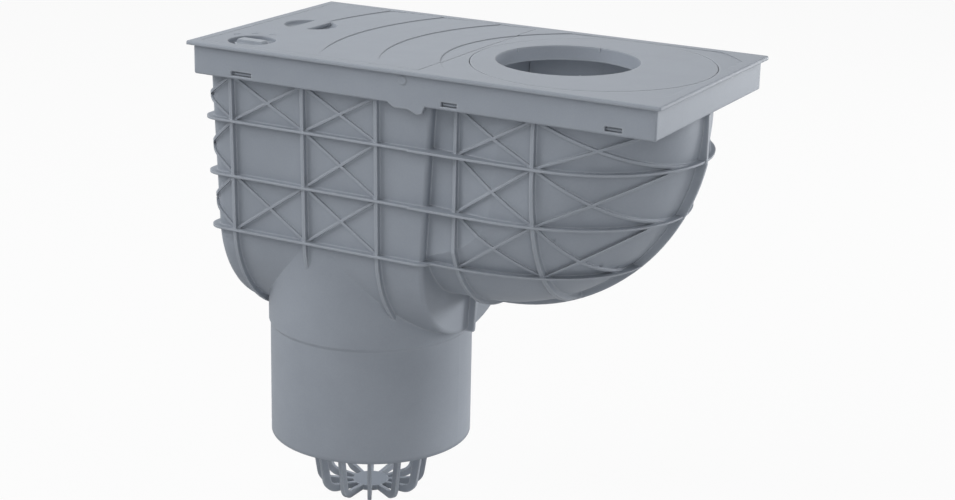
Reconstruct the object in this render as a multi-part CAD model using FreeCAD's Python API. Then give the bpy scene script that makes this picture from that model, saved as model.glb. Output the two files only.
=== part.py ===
import FreeCAD, Part
import math
import os

from FreeCAD import Vector

# Rainwater gully in millimetres. The origin is the centre of the outlet's mouth, +Z is up,
# and +X runs along the gully from the outlet to the inlet.

# Top plate
plate_length = 300
plate_width = 155
plate_shift = 70  # plate centre from the outlet's axis
top_height = 250  # top face above the outlet's mouth
lip_overhang = 3.2
lip_thickness = 2.2
lip_corner = 1.2
lip_round = 1
corner_radius = 1.3
inner_corner = 1.6
skirt_depth = 19.6
skirt_wall = 2.5
rim_width = 6.5  # plain border round the lid and the deck
cover_thickness = 3
ledge_thickness = 2
joint_land = 2.5  # between the lid's pocket and the disc's
side_ledge = 10  # ledge under the lid's long sides, from the border inwards
end_ledge = 8  # ledge under the lid's outer end, which the catch grips
mid_ledge = 8  # ledge between the lid and the inlet
lid_clearance = 0.4
edge_round = 1.2

# Ripple steps on the top, rings round the inlet
ripple_first = 86
ripple_pitch = 34.5
ripple_count = 4
ripple_depth = 0.8
ripple_fade = 18

# Snap joint between frame and body
window_widths = (14, 10, 10)
window_height = 2.6
window_low = 2  # above the skirt's lower edge
window_left = 36.6  # first window from the plate's left end
window_middle = 174  # second window from the left end
window_right = 27.5  # last window from the right end
hook_clearance = 0.3
hook_reach = 0.8  # into the window
hook_lead = 1
hook_root = 2
flange_thickness = 2
flange_clearance = 0.3
flange_ledge = 0.3  # flange beyond the shell's outer end
tab_place = -14.6  # start of the tab under the skirt, from the plate's centre
tab_profile = ((4, 2.5), (12.5, 2.3), (18.5, 4.8), (21.5, 3.9))  # along and down
tab_width = 23
tab_root = 4
pip_radius = 2.6
pip_proud = 0.4
pip_place = -5.5
pip_drop = 6

# Inlet
inlet_end = 75  # inlet's centre from the plate's right end
disc_border = 1.5  # disc's side inside the plain border
disc_clearance = 0.4
disc_ledge = 5.5
hole_radius = 41
hole_margin = 4.9  # between the hole's collar and the disc's seat
collar_depth = 8.5
collar_wall = 2.5

# Shell
wall = 2.5
wall_draft = 1.5  # degrees
end_draft = 1.4  # degrees, at the outlet end
throat_draft = 3.7  # degrees, at the throat
side_gap = 8.6  # between skirt and chamber, where the sides turn into the round floor
floor_rise = 2.8  # chamber's floor above the spigot
end_round = 6.5
throat_round = 2.5
bowl_bulge = 2.1  # bowl's side beyond the chamber's
bowl_bend = 58.7
bowl_drop = 22.8  # axis of the bend below the top face
bowl_run = 10.4  # from the chamber's upper edge to the axis of the bend
nose_gap = 0.8  # between the bowl's nose and the skirt
neck_depth = 4.7
neck_length = 36  # beyond the chamber's upper edge
neck_flare = 45

# Ribs
rib_height = 3
rib_width = 2.2
rib_start = 18.1  # first rib from the chamber's outer end
rib_pitch = 49.5
rib_count = 5
hoop_height = 4.4
hoop_width = 1.4
hoop_start = 46.5  # first hoop below the top face
hoop_pitch = 33.5
hoop_count = 3
keel_proud = 5.8
keel_rise = 1.8  # keel's centre above the axis of the bend
keel_setback = 0.4  # keel's front edge behind the skirt's face
brace_height = 1.6
brace_width = 1.6
end_rib_place = 42

# Outlet spigot
spigot_radius = 62.5
spigot_wall = 3.2
spigot_length = 73.5
shoulder = 1  # step out to the upper barrel
shoulder_rise = 2
seat_width = 5
seat_thickness = 3

# Debris basket
basket_bars = 12
bar_width = 2.3
bar_depth = 5
basket_top_radius = 50.5
basket_low_radius = 35.2
basket_low = -24.5
basket_bottom = -40.3
basket_ring = 2.5
basket_clearance = 1
hub_radius = 11.3
hub_height = 3.5
bar_round = 10
bail_height = 30
bail_width = 6
bail_thickness = 3

# Lid lock
lock_end = 31.5  # from the plate's left end
lock_side = 15.5  # from the plain border
recess_radius = 14
recess_depth = 3
recess_floor = 1.5
knob_radius = 10.5
knob_sides = 8
knob_thickness = 1.2
knob_gap = 0.3
grip_length = 19
grip_slope = 1.5  # how far each end leans in
grip_width = 6
grip_height = 2
shaft_radius = 4
shaft_clearance = 0.1
shaft_square = 5.4
square_clearance = 0.05
tongue_length = 21
tongue_width = 10
tongue_thickness = 3.5
tongue_gap = 0.4

# Finger pull
pull_end = 33  # from the plate's left end
pull_across = 4
pull_length = 33
pull_width = 28
pull_depth = 6.5
pull_round = 4.5
pull_edge = 1.2
pull_wall = 2
pull_bar_width = 12
pull_bar_thickness = 2.6
cover_rib = 2
cover_rib_depth = 7
cover_rib_left = 55.5  # from the pocket's left end
cover_rib_right = 12.6  # from the pocket's right end
cover_rib_side = 31  # from the pocket's side

# Odour flap
flap_frame_thickness = 3
flap_frame_clearance = 0.4
flap_frame_top = 14  # below the top face
window_side = 18  # frame beside its window
window_head = 38  # window's upper edge below the top face
window_sill = 45.7  # window's lower edge above the chamber's floor
flap_thickness = 2.5
flap_overlap = 4
flap_gap = 0.3
hinge_drop = 31  # below the top face
hinge_radius = 2.5
hinge_clearance = 0.06
ear_thickness = 4
ear_radius = 5
ear_gap = 0.4
flap_rib_places = (-26, 0, 26)
flap_rib = 2
flap_rib_depth = 7
flap_rib_drop = 42  # below the top face
flap_weight_half = 28  # weight along the flap's lower edge, which swings it shut
flap_weight_height = 12
flap_weight_depth = 8
flap_weight_rise = 10  # above the window's lower edge
guide_depth = 2.5
guide_width = 2

# Places worked out from the sizes
plate_left = plate_shift - plate_length / 2
plate_right = plate_shift + plate_length / 2
skirt_half = plate_width / 2 - lip_overhang
skirt_left = plate_left + lip_overhang
skirt_right = plate_right - lip_overhang
skirt_low = top_height - skirt_depth
deck_low = top_height - cover_thickness - ledge_thickness
cover_low = top_height - cover_thickness
pocket_left = plate_left + rim_width
pocket_half = plate_width / 2 - rim_width
disc_radius = pocket_half - disc_border
hole_offset = disc_radius + disc_clearance - disc_ledge - hole_margin - collar_wall - hole_radius
inlet_x = plate_right - inlet_end
pocket_right = inlet_x - disc_radius - disc_clearance - joint_land
flange_high = skirt_low + window_low
window_places = (plate_left + window_left, plate_left + window_middle, plate_right - window_right)
chamber_radius = skirt_half - skirt_wall - side_gap
chamber_floor = spigot_length + floor_rise
chamber_axis = chamber_floor + chamber_radius
chamber_left = skirt_left + skirt_wall + flange_clearance + flange_ledge
bowl_radius = chamber_radius + bowl_bulge
bowl_reach = bowl_bend + bowl_radius
bowl_axis_x = skirt_right - skirt_wall - nose_gap - bowl_reach
bowl_axis_z = top_height - bowl_drop
chamber_right = bowl_axis_x - bowl_run
lock_x = plate_left + lock_end
lock_across = lock_side - pocket_half
pull_x = plate_left + pull_end
window_half = chamber_radius - wall - window_side
window_top = top_height - window_head
window_bottom = chamber_floor + window_sill
hinge_height = top_height - hinge_drop
flap_rib_top = top_height - flap_rib_drop
flap_weight_low = window_bottom + flap_weight_rise
hoops = [top_height - hoop_start - i * hoop_pitch for i in range(hoop_count)]
ribs = [chamber_left + rib_start + i * rib_pitch for i in range(rib_count)]
far = 2 * plate_length  # length of a cutter that passes right through
spare = 1  # run of a cutter or root past the face it meets
tiny = 1e-6


def block(x0, x1, y0, y1, z0, z1):
    return Part.makeBox(x1 - x0, y1 - y0, z1 - z0, Vector(x0, y0, z0))


def post(x, y, z0, z1, radius):
    return Part.makeCylinder(radius, z1 - z0, Vector(x, y, z0))


def cross_bar(x, z, y0, y1, radius):
    return Part.makeCylinder(radius, y1 - y0, Vector(x, y0, z), Vector(0, 1, 0))


def side_prism(points, y0, y1):
    corners = [Vector(x, y0, z) for x, z in points]
    face = Part.Face(Part.makePolygon(corners + corners[:1]))
    return face.extrude(Vector(0, y1 - y0, 0))


def end_prism(points, x0, x1):
    corners = [Vector(x0, y, z) for y, z in points]
    face = Part.Face(Part.makePolygon(corners + corners[:1]))
    return face.extrude(Vector(x1 - x0, 0, 0))


def plan_prism(points, z0, z1):
    corners = [Vector(x, y, z0) for x, y in points]
    face = Part.Face(Part.makePolygon(corners + corners[:1]))
    return face.extrude(Vector(0, 0, z1 - z0))


def turned(points, x=0, y=0):
    corners = [Vector(x + r, y, z) for r, z in points]
    face = Part.Face(Part.makePolygon(corners + corners[:1]))
    return face.revolve(Vector(x, y, 0), Vector(0, 0, 1), 360)


def rounded_plate(x0, x1, half, z0, z1, radius):
    plate = block(x0, x1, -half, half, z0, z1)
    upright = [e for e in plate.Edges if abs(e.Vertexes[0].Z - e.Vertexes[-1].Z) > tiny]
    return plate.makeFillet(radius, upright)


def both_sides(shape):
    return [shape, shape.mirror(Vector(0, 0, 0), Vector(0, 1, 0))]


# Hollow forms of the body. A positive inset gives the inner face, a negative one the ribs' crest.


def throat_x(z):
    return chamber_right - (deck_low - z) * math.tan(math.radians(throat_draft))


def outlet_end_x(z):
    return chamber_left + (deck_low - z) * math.tan(math.radians(end_draft))


def chamber_form(inset, top):
    half = chamber_radius - inset
    half_top = half + (top - chamber_axis) * math.tan(math.radians(wall_draft))
    a = Vector(-far, -half_top, top)
    b = Vector(-far, -half, chamber_axis)
    c = Vector(-far, half, chamber_axis)
    d = Vector(-far, half_top, top)
    floor = Part.Arc(b, Vector(-far, 0, chamber_axis - half), c).toShape()
    sides = [Part.makeLine(a, b), floor, Part.makeLine(c, d), Part.makeLine(d, a)]
    trough = Part.Face(Part.Wire(sides)).extrude(Vector(2 * far, 0, 0))
    length = [
        (outlet_end_x(top) + inset, top),
        (throat_x(top) - inset, top),
        (throat_x(0) - inset, 0),
        (outlet_end_x(0) + inset, 0),
    ]
    trough = trough.common(side_prism(length, -far, far))

    def end_edges(place):
        found = []
        for edge in trough.Edges:
            on_end = all(abs(v.X - place(v.Z)) < tiny for v in edge.Vertexes)
            if on_end and edge.CenterOfMass.z < top - tiny:
                found.append(edge)
        return found

    trough = trough.makeFillet(end_round - inset, end_edges(lambda z: outlet_end_x(z) + inset))
    return trough.makeFillet(throat_round - min(inset, 0), end_edges(lambda z: throat_x(z) - inset))


def bowl_form(inset, top, neck=True):
    half = bowl_radius - inset
    half_axis = half + bowl_bend * math.tan(math.radians(wall_draft))
    a = Vector(bowl_axis_x, -half_axis, bowl_axis_z)
    b = Vector(bowl_axis_x + bowl_bend, -half, bowl_axis_z)
    c = Vector(bowl_axis_x + bowl_bend, half, bowl_axis_z)
    d = Vector(bowl_axis_x, half_axis, bowl_axis_z)
    nose = Part.Arc(b, Vector(bowl_axis_x + bowl_bend + half, 0, bowl_axis_z), c).toShape()
    sides = [Part.makeLine(a, b), nose, Part.makeLine(c, d), Part.makeLine(d, a)]
    section = Part.Face(Part.Wire(sides))
    hinge = Vector(bowl_axis_x, 0, bowl_axis_z)
    bend = section.revolve(hinge, Vector(0, 1, 0), 90)
    riser = section.extrude(Vector(0, 0, top - bowl_axis_z))
    upright = section.copy()
    upright.rotate(hinge, Vector(0, 1, 0), 90)
    throat_start = throat_x(chamber_floor) - throat_round
    throat = upright.extrude(Vector(throat_start - bowl_axis_x, 0, 0))
    over = block(throat_start, bowl_axis_x, -half_axis, half_axis, bowl_axis_z, top)
    form = bend.fuse([riser, throat, over]).removeSplitter()
    if not neck:
        return form
    narrow = chamber_radius - neck_depth - inset
    neck_end = chamber_right + neck_length
    plan = [
        (throat_start - spare, -narrow),
        (neck_end - neck_flare - inset, -narrow),
        (neck_end, -half),
        (neck_end + neck_flare, -half - 2 * rib_height),
        (neck_end, -far),
        (throat_start - spare, -far),
    ]
    return form.cut(both_sides(plan_prism(plan, 0, far)))


def barrel():
    upper = spigot_radius + shoulder
    return turned([
        (0, 0),
        (spigot_radius, 0),
        (spigot_radius, spigot_length - shoulder_rise),
        (upper, spigot_length),
        (upper, hoops[-1]),
        (0, hoops[-1]),
    ])


def barrel_bore():
    bore = spigot_radius - spigot_wall
    seat = bore - seat_width
    seat_low = spigot_length - seat_thickness
    return turned([
        (0, -spare),
        (bore, -spare),
        (bore, seat_low - seat_width),
        (seat, seat_low),
        (seat, spigot_length),
        (bore + shoulder, spigot_length),
        (bore + shoulder, hoops[-1]),
        (0, hoops[-1]),
    ])


def brace(x0, z0, x1, z1):
    length = math.hypot(x1 - x0, z1 - z0)
    bar = block(0, length, -far, far, -brace_width / 2, brace_width / 2)
    bar.rotate(Vector(0, 0, 0), Vector(0, 1, 0), -math.degrees(math.atan2(z1 - z0, x1 - x0)))
    bar.translate(Vector(x0, 0, z0))
    return bar


def end_brace(y0, z0, y1, z1):
    length = math.hypot(y1 - y0, z1 - z0)
    reach = chamber_left + end_round
    bar = block(-far, reach, 0, length, -brace_width / 2, brace_width / 2)
    bar.rotate(Vector(0, 0, 0), Vector(1, 0, 0), math.degrees(math.atan2(z1 - z0, y1 - y0)))
    bar.translate(Vector(0, y0, z0))
    return bar


def nose_x(z):
    return bowl_axis_x + math.sqrt(bowl_reach ** 2 - (bowl_axis_z - z) ** 2)


def braces():
    rows = [skirt_low] + hoops
    side = chamber_radius - end_round
    end_wall = block(-far, chamber_left + end_round, -side, side, 0, far)
    bars = []
    for row in range(hoop_count):
        high = rows[row]
        low = rows[row + 1]
        mid = (high + low) / 2
        panels = [(ribs[1], ribs[1], ribs[2], ribs[2]), (ribs[3], ribs[3], ribs[4], ribs[4])]
        panels.append((ribs[4], ribs[4], nose_x(high), nose_x(low)))
        if row != 1:
            panels.append((ribs[0], ribs[0], ribs[1], ribs[1]))
        for high_left, low_left, high_right, low_right in panels:
            bars.append(brace(high_left, high, low_right, low))
            bars.append(brace(low_left, low, high_right, high))
        bars.append(brace(chamber_left, mid, ribs[0], high).cut(end_wall))
        bars.append(brace(chamber_left, mid, ribs[0], low).cut(end_wall))
        edge = chamber_radius - end_round / 2
        for start, finish in ((-edge, -end_rib_place), (edge, end_rib_place)):
            bars.append(end_brace(start, mid, finish, high))
            bars.append(end_brace(start, mid, finish, low))
        bars.append(end_brace(-end_rib_place, high, end_rib_place, low))
        bars.append(end_brace(-end_rib_place, low, end_rib_place, high))
    return bars


def crest(height, bars, neck=True):
    form = chamber_form(-height, flange_high).fuse(bowl_form(-height, flange_high, neck))
    return form.common(bars[0].fuse(bars[1:]))


def bowl_keel():
    half = rib_width / 2
    reach = bowl_reach + keel_proud
    middle = Vector(bowl_axis_x, -half, bowl_axis_z + keel_rise)
    bend = Part.makeCylinder(reach, rib_width, middle, Vector(0, 1, 0))
    bend = bend.common(block(bowl_axis_x, skirt_right - keel_setback, -half, half, 0, flange_high))
    return bend.fuse(block(throat_x(chamber_floor), bowl_axis_x, -half, half, middle.z - reach, flange_high))


def body_ribs():
    half = rib_width / 2
    uprights = [block(x - half, x + half, -far, far, 0, far) for x in ribs]
    for side in (-end_rib_place, end_rib_place):
        uprights.append(block(-far, ribs[0] - rib_width, side - half, side + half, hoops[-1], far))
    rings = [block(-far, far, -far, far, z - hoop_width / 2, z + hoop_width / 2) for z in hoops]
    rings.append(block(0, bowl_axis_x, -half, half, chamber_floor, far))
    return [
        crest(rib_height, uprights),
        crest(hoop_height, rings, False),
        bowl_keel(),
        crest(brace_height, braces()),
    ]


def snap_hooks():
    inner = skirt_half - skirt_wall - flange_clearance
    low = skirt_low + window_low + hook_clearance
    high = low + window_height - 2 * hook_clearance
    reach = skirt_half - skirt_wall + hook_reach
    wedge = [
        (-inner, low - hook_lead),
        (-inner, low),
        (-reach, low),
        (-reach, low + hook_lead),
        (-inner, high),
        (-inner + hook_root, high),
        (-inner + hook_root, low - hook_lead),
    ]
    hooks = []
    for x, width in zip(window_places, window_widths):
        half = width / 2 - hook_clearance
        hooks += both_sides(end_prism(wedge, x - half, x + half))
    return hooks


def lean(shape):
    shape.rotate(Vector(chamber_right, 0, deck_low), Vector(0, 1, 0), throat_draft)
    return shape


def flap_guides():
    x = chamber_right - wall - flap_frame_thickness - 2 * flap_frame_clearance
    half = chamber_radius + wall
    rail = block(x - guide_width, x, -half, -chamber_radius + wall + guide_depth, chamber_axis, deck_low)
    held = chamber_form(wall / 2, deck_low)
    return both_sides(lean(rail).common(held))


def flange_plan(z0, z1):
    gap = skirt_wall + flange_clearance
    return rounded_plate(skirt_left + gap, skirt_right - gap, skirt_half - gap, z0, z1, inner_corner)


def body():
    flange = flange_plan(flange_high - flange_thickness, flange_high)
    outside = chamber_form(0, deck_low).fuse([bowl_form(0, deck_low), barrel(), flange])
    skirt_room = block(-far, far, -far, far, skirt_low - flange_clearance, far).cut(flange_plan(0, far))
    for piece in body_ribs():
        outside = outside.fuse(piece.cut(skirt_room))
    outside = outside.fuse(snap_hooks())
    inside = chamber_form(wall, top_height).fuse([bowl_form(wall, top_height), barrel_bore()])
    return outside.cut(inside).fuse(flap_guides()).removeSplitter()


def ripples():
    rings = []
    for i in range(ripple_count):
        r = ripple_first + i * ripple_pitch
        wedge = [(r, top_height), (r, top_height - ripple_depth), (r - ripple_fade, top_height)]
        rings.append(turned(wedge, inlet_x))
    return rings


def top_area(shape):
    field = block(pocket_left, plate_right - rim_width, -pocket_half, pocket_half, 0, far)
    return shape.common(field)


def top_frame():
    lip_low = top_height - lip_thickness
    lip = rounded_plate(plate_left, plate_right, plate_width / 2, lip_low, top_height, lip_corner)
    lip_edges = [e for e in lip.Edges if all(abs(v.Z - top_height) < tiny for v in e.Vertexes)]
    lip = lip.makeFillet(lip_round, lip_edges)
    skirt_high = top_height - lip_round
    skirt = rounded_plate(skirt_left, skirt_right, skirt_half, skirt_low, skirt_high, corner_radius)
    low_edges = [e for e in skirt.Edges if all(abs(v.Z - skirt_low) < tiny for v in e.Vertexes)]
    frame = lip.fuse(skirt.makeFillet(edge_round, low_edges))
    tab_x = plate_shift + tab_place
    tab_points = [(tab_x, skirt_low + tab_root), (tab_x, skirt_low)]
    tab_points += [(tab_x + along, skirt_low - down) for along, down in tab_profile]
    tab_points += [(tab_x + tab_width, skirt_low), (tab_x + tab_width, skirt_low + tab_root)]
    frame = frame.fuse(side_prism(tab_points, -skirt_half, -skirt_half + skirt_wall))
    pip_x = plate_shift + pip_place
    pip_z = top_height - pip_drop
    pip = cross_bar(pip_x, pip_z, -skirt_half - pip_proud, -skirt_half + spare, pip_radius)
    frame = frame.fuse(pip)
    inner = rounded_plate(
        skirt_left + skirt_wall, skirt_right - skirt_wall, skirt_half - skirt_wall,
        skirt_low - far, deck_low, inner_corner)
    lid_pocket = block(pocket_left, pocket_right, -pocket_half, pocket_half, cover_low, far)
    hatch_half = pocket_half - side_ledge
    hatch = block(pocket_left + end_ledge, pocket_right - mid_ledge, -hatch_half, hatch_half, 0, far)
    lock_room = post(lock_x, lock_across, 0, far, recess_radius + recess_floor + lid_clearance)
    lock_room = lock_room.common(block(-far, far, -pocket_half, 0, 0, far))
    disc_pocket = post(inlet_x, 0, cover_low, far, disc_radius + disc_clearance)
    disc_hatch = post(inlet_x, 0, 0, far, disc_radius + disc_clearance - disc_ledge)
    windows = []
    low = skirt_low + window_low
    for x, width in zip(window_places, window_widths):
        half = width / 2
        windows.append(block(x - half, x + half, -far, far, low, low + window_height))
    cuts = [inner, lid_pocket, hatch, lock_room, disc_pocket, disc_hatch] + windows
    frame = frame.cut(cuts)
    return frame.cut([top_area(ring) for ring in ripples()])


def dish(grow, high):
    low = top_height - pull_depth - grow
    middle = Vector(pull_x, pull_across, low)
    oval = Part.Ellipse(middle, pull_length / 2 + grow, pull_width / 2 + grow).toShape()
    hollow = Part.Face(Part.Wire(oval)).extrude(Vector(0, 0, high - low))
    floor = [e for e in hollow.Edges if abs(e.CenterOfMass.z - low) < tiny]
    return hollow.makeFillet(pull_round + grow, floor)


def pull_bar():
    half = pull_bar_width / 2
    reach = pull_width / 2 + 2 * pull_edge
    bar = block(
        pull_x - half, pull_x + half, pull_across - reach, pull_across + reach,
        top_height - pull_bar_thickness, top_height)
    long_edges = [e for e in bar.Edges if abs(e.Vertexes[0].Y - e.Vertexes[-1].Y) > tiny]
    return bar.makeFillet(pull_edge, long_edges)


def access_cover():
    half = pocket_half - lid_clearance
    left = pocket_left + lid_clearance
    right = pocket_right - lid_clearance
    plate = block(left, right, -half, half, cover_low, top_height)
    recess_low = top_height - recess_depth
    cup = post(lock_x, lock_across, recess_low - recess_floor, top_height, recess_radius + recess_floor)
    cup = cup.common(block(-far, far, -half, 0, 0, far))
    x0 = pocket_left + cover_rib_left
    x1 = pocket_right - cover_rib_right
    side = pocket_half - cover_rib_side
    low = cover_low - cover_rib_depth
    stiffeners = []
    for y in (-side, 0, side):
        stiffeners.append(block(x0, x1, y - cover_rib / 2, y + cover_rib / 2, low, cover_low))
    for x in (x0, x1):
        stiffeners.append(block(x - cover_rib, x, -side, side, low, cover_low))
    pan = dish(pull_wall, top_height - cover_thickness / 2)
    lid = plate.fuse([cup, pan] + stiffeners)
    recess = post(lock_x, lock_across, recess_low, far, recess_radius)
    shaft_hole = post(lock_x, lock_across, 0, far, shaft_radius + shaft_clearance)
    lid = lid.cut([recess, shaft_hole, dish(0, top_height)])
    rim = [e for e in lid.Edges if isinstance(e.Curve, Part.Ellipse) and e.CenterOfMass.z > top_height - tiny]
    lid = lid.makeFillet(pull_edge, rim).fuse(pull_bar())
    return lid.cut(ripples()).removeSplitter()


def lock_knob():
    low = top_height - recess_depth + knob_gap
    corners = []
    for i in range(knob_sides):
        turn = math.radians(360 / knob_sides * (i + 0.5))
        corners.append((lock_x + knob_radius * math.cos(turn), lock_across + knob_radius * math.sin(turn)))
    top = low + knob_thickness
    head = plan_prism(corners, low, top)
    half_low = grip_length / 2
    half_high = half_low - grip_slope
    outline = [
        (lock_x - half_low, top),
        (lock_x + half_low, top),
        (lock_x + half_high, top + grip_height),
        (lock_x - half_high, top + grip_height),
    ]
    grip = side_prism(outline, lock_across - grip_width / 2, lock_across + grip_width / 2)
    tongue_high = deck_low - tongue_gap
    shaft = post(lock_x, lock_across, tongue_high, low, shaft_radius)
    half = shaft_square / 2
    tip = block(
        lock_x - half, lock_x + half, lock_across - half, lock_across + half,
        tongue_high - tongue_thickness, tongue_high)
    return head.fuse([grip, shaft, tip]).removeSplitter()


def lock_tongue():
    high = deck_low - tongue_gap
    low = high - tongue_thickness
    half = tongue_width / 2
    arm = block(lock_x - half, lock_x + half, lock_across, lock_across + tongue_length - half, low, high)
    tip = post(lock_x, lock_across + tongue_length - half, low, high, half)
    eye = post(lock_x, lock_across, low, high, half)
    hole_half = shaft_square / 2 + square_clearance
    hole = block(
        lock_x - hole_half, lock_x + hole_half, lock_across - hole_half, lock_across + hole_half, low, high)
    return arm.fuse([tip, eye]).removeSplitter().cut(hole)


def inlet_disc():
    hole_x = inlet_x - hole_offset
    plate = post(inlet_x, 0, cover_low, top_height, disc_radius)
    collar = post(hole_x, 0, top_height - collar_depth, top_height, hole_radius + collar_wall)
    hole = post(hole_x, 0, 0, far, hole_radius)
    return plate.fuse(collar).cut(hole).removeSplitter()


def basket_bar():
    slope = math.atan2(basket_top_radius - basket_low_radius, spigot_length - basket_low)
    inner_shift = bar_depth / math.cos(slope)
    floor_high = basket_bottom + bar_depth
    low_outer = basket_low_radius - (basket_low - basket_bottom) * math.tan(slope)
    outline = [
        (hub_radius - spare, basket_bottom),
        (low_outer, basket_bottom),
        (basket_top_radius, spigot_length + basket_ring),
        (basket_top_radius - inner_shift, spigot_length + basket_ring),
        (low_outer - inner_shift + bar_depth * math.tan(slope), floor_high),
        (hub_radius - spare, basket_bottom + hub_height),
    ]
    plate = side_prism(outline, -bar_width / 2, bar_width / 2)

    def at(edge, r, z):
        return all(abs(v.X - r) < tiny and abs(v.Z - z) < tiny for v in edge.Vertexes)

    outer = [e for e in plate.Edges if at(e, low_outer, basket_bottom)]
    inner = [e for e in plate.Edges if at(e, outline[4][0], floor_high)]
    return plate.makeFillet(bar_round, outer).makeFillet(bar_round - bar_depth, inner)


def debris_basket():
    first = basket_bar()
    parts = []
    for i in range(basket_bars):
        bar = first.copy()
        bar.rotate(Vector(0, 0, 0), Vector(0, 0, 1), 360 / basket_bars * i)
        parts.append(bar)
    outer = spigot_radius - spigot_wall + shoulder - basket_clearance
    ring_low = spigot_length
    ring_high = ring_low + basket_ring
    ring_inner = basket_top_radius - bar_depth
    ring = post(0, 0, ring_low, ring_high, outer).cut(post(0, 0, ring_low, ring_high, ring_inner))
    hub = post(0, 0, basket_bottom, basket_bottom + hub_height, hub_radius)
    foot = (outer + ring_inner) / 2
    arch = (foot ** 2 + bail_height ** 2) / (2 * bail_height)
    middle = Vector(-bail_width / 2, 0, ring_high + bail_height - arch)
    bail = Part.makeCylinder(arch, bail_width, middle, Vector(1, 0, 0))
    bail = bail.cut(Part.makeCylinder(arch - bail_thickness, bail_width, middle, Vector(1, 0, 0)))
    bail = bail.common(block(-far, far, -far, far, ring_low, far))
    return ring.fuse(parts + [hub, bail]).removeSplitter()


def flap_plate_x():
    high = chamber_right - wall - flap_frame_clearance
    return high - flap_frame_thickness, high


def u_window(half, high, low, x0, x1):
    a = Vector(x0, -half, high)
    b = Vector(x0, -half, low + half)
    c = Vector(x0, half, low + half)
    d = Vector(x0, half, high)
    floor = Part.Arc(b, Vector(x0, 0, low), c).toShape()
    sides = [Part.makeLine(a, b), floor, Part.makeLine(c, d), Part.makeLine(d, a)]
    return Part.Face(Part.Wire(sides)).extrude(Vector(x1 - x0, 0, 0))


def hinge_x():
    return flap_plate_x()[0] - flap_gap - hinge_radius


def flap_frame():
    x0, x1 = flap_plate_x()
    form = chamber_form(wall + flap_frame_clearance, top_height - flap_frame_top)
    plate = form.common(lean(block(x0, x1, -far, far, 0, far)))
    plate = plate.cut(lean(u_window(window_half, window_top, window_bottom, x0 - spare, x1 + spare)))
    ears = []
    ear_inner = window_half + flap_overlap + ear_gap
    low = hinge_height - ear_radius
    high = hinge_height + ear_radius
    bore = hinge_radius + hinge_clearance
    for y in (-ear_inner - ear_thickness, ear_inner):
        ear = cross_bar(hinge_x(), hinge_height, y, y + ear_thickness, ear_radius)
        root = block(hinge_x(), x0, y, y + ear_thickness, low, high)
        hole = cross_bar(hinge_x(), hinge_height, y - spare, y + ear_thickness + spare, bore)
        ears.append(lean(ear.fuse(root).cut(hole)))
    return plate.fuse(ears).removeSplitter()


def odour_flap():
    x1 = flap_plate_x()[0] - flap_gap
    x0 = x1 - flap_thickness
    half = window_half + flap_overlap
    plate = u_window(half, hinge_height, window_bottom - flap_overlap, x0, x1)
    reach = half + ear_gap + ear_thickness
    pin = cross_bar(hinge_x(), hinge_height, -reach, reach, hinge_radius)
    weight_high = flap_weight_low + flap_weight_height
    backs = [block(
        x0 - flap_weight_depth, x0, -flap_weight_half, flap_weight_half, flap_weight_low, weight_high)]
    for y in flap_rib_places:
        y0 = y - flap_rib / 2
        backs.append(block(x0 - flap_rib_depth, x0, y0, y0 + flap_rib, weight_high, flap_rib_top))
    return lean(plate.fuse([pin] + backs).removeSplitter())


os.makedirs("parts", exist_ok=True)
pieces = {
    "body": body,
    "top_frame": top_frame,
    "access_cover": access_cover,
    "lock_knob": lock_knob,
    "lock_tongue": lock_tongue,
    "inlet_disc": inlet_disc,
    "debris_basket": debris_basket,
    "flap_frame": flap_frame,
    "odour_flap": odour_flap,
}
for name, build in pieces.items():
    shape = build()
    shape.exportStep(f"parts/{name}.step")
    print(name, len(shape.Solids), "solid", round(shape.Volume / 1000, 1), "cm3", shape.isValid())
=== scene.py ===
import math

import bmesh
import bpy
from mathutils import Matrix, Vector


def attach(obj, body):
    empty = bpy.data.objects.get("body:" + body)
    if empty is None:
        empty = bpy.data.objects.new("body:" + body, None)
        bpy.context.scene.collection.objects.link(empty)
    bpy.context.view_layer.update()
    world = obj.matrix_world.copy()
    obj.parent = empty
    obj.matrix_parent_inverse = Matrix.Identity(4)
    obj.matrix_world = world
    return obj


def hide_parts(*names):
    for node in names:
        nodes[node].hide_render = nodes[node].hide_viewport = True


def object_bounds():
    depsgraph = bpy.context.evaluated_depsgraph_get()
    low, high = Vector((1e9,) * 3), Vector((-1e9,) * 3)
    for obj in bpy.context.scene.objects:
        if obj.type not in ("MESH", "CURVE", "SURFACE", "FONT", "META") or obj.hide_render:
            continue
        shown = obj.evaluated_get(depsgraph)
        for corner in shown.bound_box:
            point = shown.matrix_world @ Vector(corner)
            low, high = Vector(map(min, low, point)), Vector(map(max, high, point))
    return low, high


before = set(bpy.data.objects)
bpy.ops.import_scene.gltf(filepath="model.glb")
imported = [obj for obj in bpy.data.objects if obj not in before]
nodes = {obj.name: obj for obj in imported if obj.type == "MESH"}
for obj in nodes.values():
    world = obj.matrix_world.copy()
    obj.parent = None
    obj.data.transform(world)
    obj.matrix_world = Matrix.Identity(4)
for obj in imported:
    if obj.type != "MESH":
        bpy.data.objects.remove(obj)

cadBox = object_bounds()
scene = bpy.context.scene
print("frame loaded:", len(nodes), "nodes")


# Helpers for node trees and materials

def addNode(tree, kind, **values):
    node = tree.nodes.new(kind)
    for name, value in values.items():
        if name in node.inputs:
            node.inputs[name].default_value = value
        else:
            setattr(node, name, value)
    return node


def link(tree, source, target):
    tree.links.new(source, target)


def emptyMaterial(name):
    mat = bpy.data.materials.new(name)
    mat.use_nodes = True
    mat.node_tree.nodes.clear()
    return mat


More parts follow.
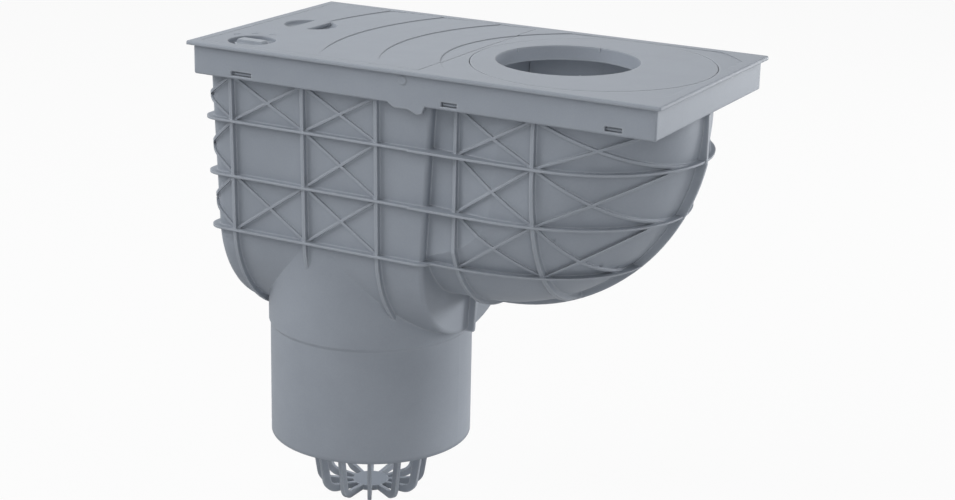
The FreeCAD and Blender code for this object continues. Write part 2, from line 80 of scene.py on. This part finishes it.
def mixColour(tree, share, base, over):
    # a colour mix has its factor on socket 0 and its colours on 6 and 7
    mix = addNode(tree, "ShaderNodeMix", data_type="RGBA")
    link(tree, share, mix.inputs[0])
    link(tree, base, mix.inputs[6])
    mix.inputs[7].default_value = over
    return mix.outputs[2]


# Grey moulded plastic

plastic = {
    "light": (0.292, 0.320, 0.364, 1),
    "dark": (0.252, 0.278, 0.318, 1),
    "darkAt": 0.3,          # pigment value that is quite dark
    "lightAt": 0.7,         # and quite light
    "paintedHighlight": (0.400, 0.430, 0.476, 1),     # painted highlight: edges, crests and creases painted a little paler
    "highlightShare": 0.8,
    "highlightRadius": 0.0022,
    "highlightFull": 0.75,        # cosine from the flat to the rounded normal where the painted highlight is full
    "cloudSize": 22.0,      # per metre, slow drift of the pigment
    "cloudDetail": 4.0,
    "cloudRough": 0.6,
    "speckSize": 900.0,     # per metre, fine pigment specks
    "speckShare": 0.25,     # of the pigment value, the rest is clouds
    "grainSize": 2600.0,    # per metre, the mould's spark finish
    "grainDepth": 0.00003,
    "grainStrength": 0.4,
    "fineDetail": 2.0,      # of specks and grain
    "edgeRound": 0.0008,
    "edgeRays": 6,
    "roughLow": 0.56,
    "roughHigh": 0.66,
    "specular": 0.25,
}


def mouldedPlastic(name, look):
    mat = emptyMaterial(name)
    tree = mat.node_tree
    out = addNode(tree, "ShaderNodeOutputMaterial")
    shader = addNode(tree, "ShaderNodeBsdfPrincipled")
    shader.inputs["Specular IOR Level"].default_value = look["specular"]
    link(tree, shader.outputs["BSDF"], out.inputs["Surface"])
    coords = addNode(tree, "ShaderNodeTexCoord")
    clouds = addNode(tree, "ShaderNodeTexNoise", Scale=look["cloudSize"],
                     Detail=look["cloudDetail"], Roughness=look["cloudRough"])
    specks = addNode(tree, "ShaderNodeTexNoise", Scale=look["speckSize"], Detail=look["fineDetail"])
    grain = addNode(tree, "ShaderNodeTexNoise", Scale=look["grainSize"], Detail=look["fineDetail"])
    for texture in (clouds, specks, grain):
        link(tree, coords.outputs["Object"], texture.inputs["Vector"])
    pigment = addNode(tree, "ShaderNodeMix", data_type="FLOAT")     # factor 0, values 2 and 3
    pigment.inputs[0].default_value = look["speckShare"]
    link(tree, clouds.outputs["Fac"], pigment.inputs[2])
    link(tree, specks.outputs["Fac"], pigment.inputs[3])
    colours = addNode(tree, "ShaderNodeValToRGB")
    darkEnd, lightEnd = colours.color_ramp.elements
    darkEnd.position, darkEnd.color = look["darkAt"], look["dark"]
    lightEnd.position, lightEnd.color = look["lightAt"], look["light"]
    link(tree, pigment.outputs[0], colours.inputs["Fac"])

    # painted highlight: where the rounded normal leaves the flat one, at edges, crests and creases,
    # the plastic is painted paler
    sides = addNode(tree, "ShaderNodeNewGeometry")
    rounded = addNode(tree, "ShaderNodeBevel", samples=look["edgeRays"], Radius=look["highlightRadius"])
    along = addNode(tree, "ShaderNodeVectorMath", operation="DOT_PRODUCT")
    link(tree, sides.outputs["Normal"], along.inputs[0])
    link(tree, rounded.outputs["Normal"], along.inputs[1])
    highlightMask = addNode(tree, "ShaderNodeMapRange")
    highlightMask.inputs["From Min"].default_value = 1.0
    highlightMask.inputs["From Max"].default_value = look["highlightFull"]
    highlightMask.inputs["To Max"].default_value = look["highlightShare"]
    link(tree, along.outputs["Value"], highlightMask.inputs["Value"])
    # the painted highlight is mixed into the pigment colour
    highlighted = mixColour(tree, highlightMask.outputs["Result"], colours.outputs["Color"], look["paintedHighlight"])
    link(tree, highlighted, shader.inputs["Base Color"])

    rough = addNode(tree, "ShaderNodeMapRange")
    rough.inputs["To Min"].default_value = look["roughLow"]
    rough.inputs["To Max"].default_value = look["roughHigh"]
    link(tree, clouds.outputs["Fac"], rough.inputs["Value"])
    link(tree, rough.outputs["Result"], shader.inputs["Roughness"])
    edges = addNode(tree, "ShaderNodeBevel", samples=look["edgeRays"], Radius=look["edgeRound"])
    bump = addNode(tree, "ShaderNodeBump", Strength=look["grainStrength"],
                   Distance=look["grainDepth"])
    link(tree, grain.outputs["Fac"], bump.inputs["Height"])
    link(tree, edges.outputs["Normal"], bump.inputs["Normal"])
    link(tree, bump.outputs["Normal"], shader.inputs["Normal"])
    return mat


# painted shade: a darker band is painted along the spigot's lower edge, standing in for the shade
# of a chamfer
mouthPaintedShade = {"height": 0.0028, "share": 0.5, "colour": (0.165, 0.184, 0.212, 1)}


def paintMouthShade(mat, look):
    tree = mat.node_tree
    shader = next(node for node in tree.nodes if node.type == "BSDF_PRINCIPLED")
    base = shader.inputs["Base Color"].links[0].from_socket
    coords = addNode(tree, "ShaderNodeTexCoord")
    split = addNode(tree, "ShaderNodeSeparateXYZ")
    link(tree, coords.outputs["Object"], split.inputs["Vector"])
    band = addNode(tree, "ShaderNodeMapRange", interpolation_type="SMOOTHSTEP")
    band.inputs["From Min"].default_value = look["height"]
    band.inputs["From Max"].default_value = 0.0
    band.inputs["To Max"].default_value = look["share"]
    link(tree, split.outputs["Z"], band.inputs["Value"])
    # painted shade mixed into the base colour below the band's height
    shadedMouth = mixColour(tree, band.outputs["Result"], base, look["colour"])
    link(tree, shadedMouth, shader.inputs["Base Color"])


# the top's edges are softer than the ribs', and the knob is a paler batch of the same plastic
softTop = dict(plastic, edgeRound=0.0014)
knobBatch = dict(plastic, light=(0.335, 0.365, 0.408, 1), dark=(0.300, 0.328, 0.368, 1))

finish = mouldedPlastic("greyPlastic", plastic)
topFinish = mouldedPlastic("topPlastic", softTop)
bodyFinish = mouldedPlastic("bodyPlastic", plastic)
# the body gets the painted shade band at the spigot's mouth
paintMouthShade(bodyFinish, mouthPaintedShade)
knobFinish = mouldedPlastic("knobPlastic", knobBatch)
finishes = {"body": bodyFinish, "inlet_disc": topFinish, "lock_knob": knobFinish}
for name, node in nodes.items():
    node.data.materials.clear()
    node.data.materials.append(finishes.get(name, finish))
print("plastic on", len(nodes), "nodes")


# Lid and frame: the ripples eased to soft steps, and a shallower finger pull

easedTop = {
    "top": 0.25,
    "middle": (0.145, 0.0),             # the ripples' centre
    "ripples": (0.086, 0.1205, 0.155, 0.1895),  # radii of the steps
    "fade": 0.018,                      # from a ripple's foot to its step
    "stepEnd": 1.01,                    # share of the fade that still counts as the step
    "depth": 0.0008,
    "keep": 0.55,                       # of the ripples' depth
    "frontFade": (-0.070, -0.032),      # the steps run out towards the front edge
    "outerFade": (0.012, 0.030),        # and the outermost one beside the finger pull
    "pull": (-0.047, 0.004),
    "pullHalf": (0.0165, 0.014),
    "pullReach": 1.09,                  # times the half sizes, so that the dish's rim is in
    "pullDepth": 0.0066,
    "pullKeep": 0.42,                   # of the dish's depth
    "barHalf": 0.00605,                 # the bar across the pull stays as it is
    "barDepth": 0.00265,
    "slack": 0.00002,                   # how far a point may lie from the ripple's slope
    "merge": 0.000001,
    "sharp": math.radians(35.0),
    "level": 0.99,                      # faces that point up or down this much stay flat
}


def ramp(value, low, high):
    share = min(1.0, max(0.0, (value - low) / (high - low)))
    return share * share * (3 - 2 * share)


def easedDepth(x, y, depth, look):
    reach = math.hypot(x - look["middle"][0], y - look["middle"][1])
    for step in look["ripples"]:
        share = (reach - step + look["fade"]) / look["fade"]
        onSlope = abs(depth - share * look["depth"]) < look["slack"]
        if 0 < share < look["stepEnd"] and onSlope:
            keep = look["keep"] * ramp(y, *look["frontFade"])
            if step == look["ripples"][-1]:
                keep *= ramp(y, *look["outerFade"])
            return depth * keep
    across = [(at - middle) / half
              for at, middle, half in zip((x, y), look["pull"], look["pullHalf"])]
    inDish = math.hypot(*across) < look["pullReach"] and depth < look["pullDepth"]
    inBar = abs(x - look["pull"][0]) < look["barHalf"] and depth < look["barDepth"]
    if inDish and not inBar:
        return depth * look["pullKeep"]
    return depth


def easeTop(name, node, body, look):
    shape = bmesh.new()
    shape.from_mesh(nodes[node].data)
    bmesh.ops.remove_doubles(shape, verts=shape.verts[:], dist=look["merge"])
    for corner in shape.verts:
        depth = look["top"] - corner.co.z
        if depth > 0:
            corner.co.z = look["top"] - easedDepth(corner.co.x, corner.co.y, depth, look)
    # steps that ran out have no height left
    bmesh.ops.remove_doubles(shape, verts=shape.verts[:], dist=look["merge"])
    bmesh.ops.dissolve_degenerate(shape, edges=shape.edges[:], dist=look["merge"])
    shape.verts.index_update()
    mesh = bpy.data.meshes.new(name)
    mesh.from_pydata([corner.co[:] for corner in shape.verts], [],
                     [[corner.index for corner in side.verts] for side in shape.faces])
    opened = sum(not edge.is_manifold for edge in shape.edges)
    shape.free()
    mesh.set_sharp_from_angle(angle=look["sharp"])
    for side in mesh.polygons:
        side.use_smooth = abs(side.normal.z) < look["level"]
    mesh.materials.append(topFinish)
    piece = bpy.data.objects.new(name, mesh)
    scene.collection.objects.link(piece)
    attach(piece, body)
    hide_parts(node)
    print(name, "eased:", len(mesh.polygons), "faces,", opened, "open edges")


easeTop("lidSkin", "access_cover", "cover", easedTop)
easeTop("frameSkin", "top_frame", "base", easedTop)


# Small moulded marks: rods laid in a ring and half sunk in the surface

rodSides = 12
rodInputs = {
    "Count": "NodeSocketInt",
    "Start": "NodeSocketFloat",
    "Step": "NodeSocketFloat",
    "Ring": "NodeSocketFloat",
    "From": "NodeSocketVector",
    "To": "NodeSocketVector",
    "Thickness": "NodeSocketFloat",     # from the middle of a rod to its side
    "Centre": "NodeSocketVector",
    "Finish": "NodeSocketMaterial",
}


def rodRing():
    tree = bpy.data.node_groups.new("rodRing", "GeometryNodeTree")
    face = tree.interface
    face.new_socket("Geometry", in_out="INPUT", socket_type="NodeSocketGeometry")
    for name, kind in rodInputs.items():
        face.new_socket(name, in_out="INPUT", socket_type=kind)
    face.new_socket("Geometry", in_out="OUTPUT", socket_type="NodeSocketGeometry")
    given = addNode(tree, "NodeGroupInput")
    result = addNode(tree, "NodeGroupOutput")

    number = addNode(tree, "GeometryNodeInputIndex")
    turn = addNode(tree, "ShaderNodeMath", operation="MULTIPLY_ADD")
    link(tree, number.outputs["Index"], turn.inputs[0])
    link(tree, given.outputs["Step"], turn.inputs[1])
    link(tree, given.outputs["Start"], turn.inputs[2])
    heading = addNode(tree, "ShaderNodeCombineXYZ")
    link(tree, turn.outputs["Value"], heading.inputs["Z"])
    spoke = addNode(tree, "ShaderNodeCombineXYZ")
    link(tree, given.outputs["Ring"], spoke.inputs["X"])
    place = addNode(tree, "ShaderNodeVectorRotate", rotation_type="EULER_XYZ")
    link(tree, spoke.outputs["Vector"], place.inputs["Vector"])
    link(tree, heading.outputs["Vector"], place.inputs["Rotation"])
    middle = addNode(tree, "ShaderNodeVectorMath", operation="ADD")
    link(tree, place.outputs["Vector"], middle.inputs[0])
    link(tree, given.outputs["Centre"], middle.inputs[1])
    points = addNode(tree, "GeometryNodePoints")
    link(tree, given.outputs["Count"], points.inputs["Count"])
    link(tree, middle.outputs["Vector"], points.inputs["Position"])

    run = addNode(tree, "GeometryNodeCurvePrimitiveLine")
    link(tree, given.outputs["From"], run.inputs["Start"])
    link(tree, given.outputs["To"], run.inputs["End"])
    section = addNode(tree, "GeometryNodeCurvePrimitiveCircle", Resolution=rodSides)
    link(tree, given.outputs["Thickness"], section.inputs["Radius"])
    rod = addNode(tree, "GeometryNodeCurveToMesh")
    rod.inputs["Fill Caps"].default_value = True
    link(tree, run.outputs["Curve"], rod.inputs["Curve"])
    link(tree, section.outputs["Curve"], rod.inputs["Profile Curve"])

    laid = addNode(tree, "GeometryNodeInstanceOnPoints")
    link(tree, points.outputs["Points"], laid.inputs["Points"])
    link(tree, rod.outputs["Mesh"], laid.inputs["Instance"])
    link(tree, heading.outputs["Vector"], laid.inputs["Rotation"])
    real = addNode(tree, "GeometryNodeRealizeInstances")
    link(tree, laid.outputs["Instances"], real.inputs["Geometry"])
    coat = addNode(tree, "GeometryNodeSetMaterial")
    link(tree, real.outputs["Geometry"], coat.inputs["Geometry"])
    link(tree, given.outputs["Finish"], coat.inputs["Material"])
    link(tree, coat.outputs["Geometry"], result.inputs["Geometry"])
    return tree


rods = rodRing()


def layRods(name, body, look):
    piece = bpy.data.objects.new(name, bpy.data.meshes.new(name))
    scene.collection.objects.link(piece)
    layer = piece.modifiers.new("rods", "NODES")
    layer.node_group = rods
    sockets = {item.name: item.identifier for item in rods.interface.items_tree
               if item.in_out == "INPUT" and item.socket_type != "NodeSocketGeometry"}
    for size, value in look.items():
        layer[sockets[size]] = value
    layer[sockets["Finish"]] = finish
    seen = piece.evaluated_get(bpy.context.evaluated_depsgraph_get())
    mesh = bpy.data.meshes.new_from_object(seen)
    piece.modifiers.remove(layer)
    piece.data = mesh
    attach(piece, body)
    print(name, "laid:", len(mesh.polygons), "faces")


# plain ticks on the lid behind the lock
lockTicks = {
    "Count": 3,
    "Start": math.radians(90.0),
    "Step": math.radians(30.0),
    "Ring": 0.0206,
    "From": (0.0, -0.002, 0.0),
    "To": (0.0, 0.002, 0.0),
    "Thickness": 0.0008,
    "Centre": (-0.0485, -0.0555, 0.24965),
}

# nubs on the rim of the downpipe hole
rimNubs = {
    "Count": 5,
    "Start": math.radians(89.5),
    "Step": math.radians(72.0),
    "Ring": 0.041,
    "From": (0.0, 0.0, -0.0022),
    "To": (0.0, 0.0, 0.0002),
    "Thickness": 0.0005,
    "Centre": (0.129, 0.0, 0.25),
}

layRods("lockTicks", "cover", lockTicks)
layRods("rimNubs", "inlet", rimNubs)


# Floor and backdrop, light and camera

studio = {
    "floorDrop": 0.0004,    # below the basket's bars
    "floorSize": 12.0,
    "floorColour": (0.56, 0.56, 0.56, 1),
    "shade": 0.06,          # how much of the floor's own shading the camera sees
    "world": 0.18,
    "worldColour": (0.96, 0.98, 1.0, 1),
    "white": (1, 1, 1, 1),
}


def seenWhite(tree, share):
    # camera, glossy and transmitted rays see this share of plain white
    path = addNode(tree, "ShaderNodeLightPath")
    first = addNode(tree, "ShaderNodeMath", operation="MAXIMUM")
    link(tree, path.outputs["Is Camera Ray"], first.inputs[0])
    link(tree, path.outputs["Is Glossy Ray"], first.inputs[1])
    every = addNode(tree, "ShaderNodeMath", operation="MAXIMUM")
    link(tree, first.outputs["Value"], every.inputs[0])
    link(tree, path.outputs["Is Transmission Ray"], every.inputs[1])
    scaled = addNode(tree, "ShaderNodeMath", operation="MULTIPLY")
    link(tree, every.outputs["Value"], scaled.inputs[0])
    scaled.inputs[1].default_value = share
    return scaled.outputs["Value"]


def paleFloor(look):
    mesh = bpy.data.meshes.new("floor")
    half = look["floorSize"] / 2
    z = cadBox[0].z - look["floorDrop"]
    corners = [(-half, -half, z), (half, -half, z), (half, half, z), (-half, half, z)]
    mesh.from_pydata(corners, [], [(0, 1, 2, 3)])
    floor = bpy.data.objects.new("floor", mesh)
    scene.collection.objects.link(floor)
    mat = emptyMaterial("paleFloor")
    tree = mat.node_tree
    out = addNode(tree, "ShaderNodeOutputMaterial")
    diffuse = addNode(tree, "ShaderNodeBsdfDiffuse", Color=look["floorColour"])
    white = addNode(tree, "ShaderNodeEmission", Color=look["white"], Strength=1.0)
    mix = addNode(tree, "ShaderNodeMixShader")
    link(tree, seenWhite(tree, 1 - look["shade"]), mix.inputs["Fac"])
    link(tree, diffuse.outputs["BSDF"], mix.inputs[1])
    link(tree, white.outputs["Emission"], mix.inputs[2])
    link(tree, mix.outputs["Shader"], out.inputs["Surface"])
    mesh.materials.append(mat)


def studioWorld(look):
    world = bpy.data.worlds.new("studio")
    world.use_nodes = True
    tree = world.node_tree
    tree.nodes.clear()
    out = addNode(tree, "ShaderNodeOutputWorld")
    fill = addNode(tree, "ShaderNodeBackground", Color=look["worldColour"], Strength=look["world"])
    white = addNode(tree, "ShaderNodeBackground", Color=look["white"], Strength=1.0)
    mix = addNode(tree, "ShaderNodeMixShader")
    link(tree, seenWhite(tree, 1.0), mix.inputs["Fac"])
    link(tree, fill.outputs["Background"], mix.inputs[1])
    link(tree, white.outputs["Background"], mix.inputs[2])
    link(tree, mix.outputs["Shader"], out.inputs["Surface"])
    scene.world = world


lightAim = Vector((0.07, 0, 0.13))
lightReach = 1.6
softboxes = [
    # name, azimuth in degrees from +X towards +Y, elevation, width, power
    ("left", 213.0, 38.0, 1.3, 17.7),
    ("front", 298.0, 18.0, 1.3, 7.8),
    ("right", 14.0, 0.0, 0.7, 2.8),
    ("rightTop", 16.0, 42.0, 0.7, 4.4),
    ("rightBack", 57.0, 2.0, 0.5, 16.0),
    ("back", 114.0, 42.0, 0.9, 6.3),
]
innerLamps = [
    # name, place, size, power: they lift the inside a little
    ("bowlLamp", (0.125, 0.0, 0.19), 0.03, 0.06),
    ("spigotLamp", (0.0, 0.0, 0.035), 0.03, 0.11),
]


def softbox(name, azimuth, elevation, width, power):
    around = math.radians(azimuth)
    rise = math.radians(elevation)
    level = math.cos(rise)
    way = Vector((math.cos(around) * level, math.sin(around) * level, math.sin(rise)))
    lamp = bpy.data.lights.new(name, "AREA")
    lamp.shape = "DISK"
    lamp.size = width
    lamp.energy = power
    box = bpy.data.objects.new(name, lamp)
    box.location = lightAim + way * lightReach
    box.rotation_euler = (-way).to_track_quat("-Z", "Y").to_euler()
    scene.collection.objects.link(box)


def innerLamp(name, place, size, power):
    lamp = bpy.data.lights.new(name, "POINT")
    lamp.shadow_soft_size = size
    lamp.energy = power
    bulb = bpy.data.objects.new(name, lamp)
    bulb.location = place
    scene.collection.objects.link(bulb)


photoCamera = {
    "azimuth": 28.417,      # in degrees from -Y towards +X
    "elevation": 17.493,
    "roll": 1.280,
    "distance": 1.172598,
    "target": (0.073601, 0, 0.128178),
    "focal": 1968.189,      # in pixels of a frame 955 wide
    "frameWidth": 955,
    "sensor": 36.0,
}


def placeCamera(look):
    turn = math.radians(look["azimuth"])
    rise = math.radians(look["elevation"])
    lean = math.radians(look["roll"])
    flat = math.cos(rise)
    back = Vector((math.sin(turn) * flat, -math.cos(turn) * flat, math.sin(rise)))
    level = Vector((math.cos(turn), math.sin(turn), 0))
    upright = back.cross(level)
    right = level * math.cos(lean) + upright * math.sin(lean)
    up = upright * math.cos(lean) - level * math.sin(lean)
    lens = bpy.data.cameras.new("photoCamera")
    lens.sensor_width = look["sensor"]
    lens.lens = look["focal"] / look["frameWidth"] * look["sensor"]
    camera = bpy.data.objects.new("photoCamera", lens)
    place = Vector(look["target"]) + back * look["distance"]
    axes = Matrix((right, up, back)).transposed().to_4x4()
    camera.matrix_world = Matrix.Translation(place) @ axes
    scene.collection.objects.link(camera)
    scene.camera = camera


scene.view_settings.view_transform = "Standard"
paleFloor(studio)
studioWorld(studio)
for box in softboxes:
    softbox(*box)
for lamp in innerLamps:
    innerLamp(*lamp)
placeCamera(photoCamera)
print("studio and camera placed")
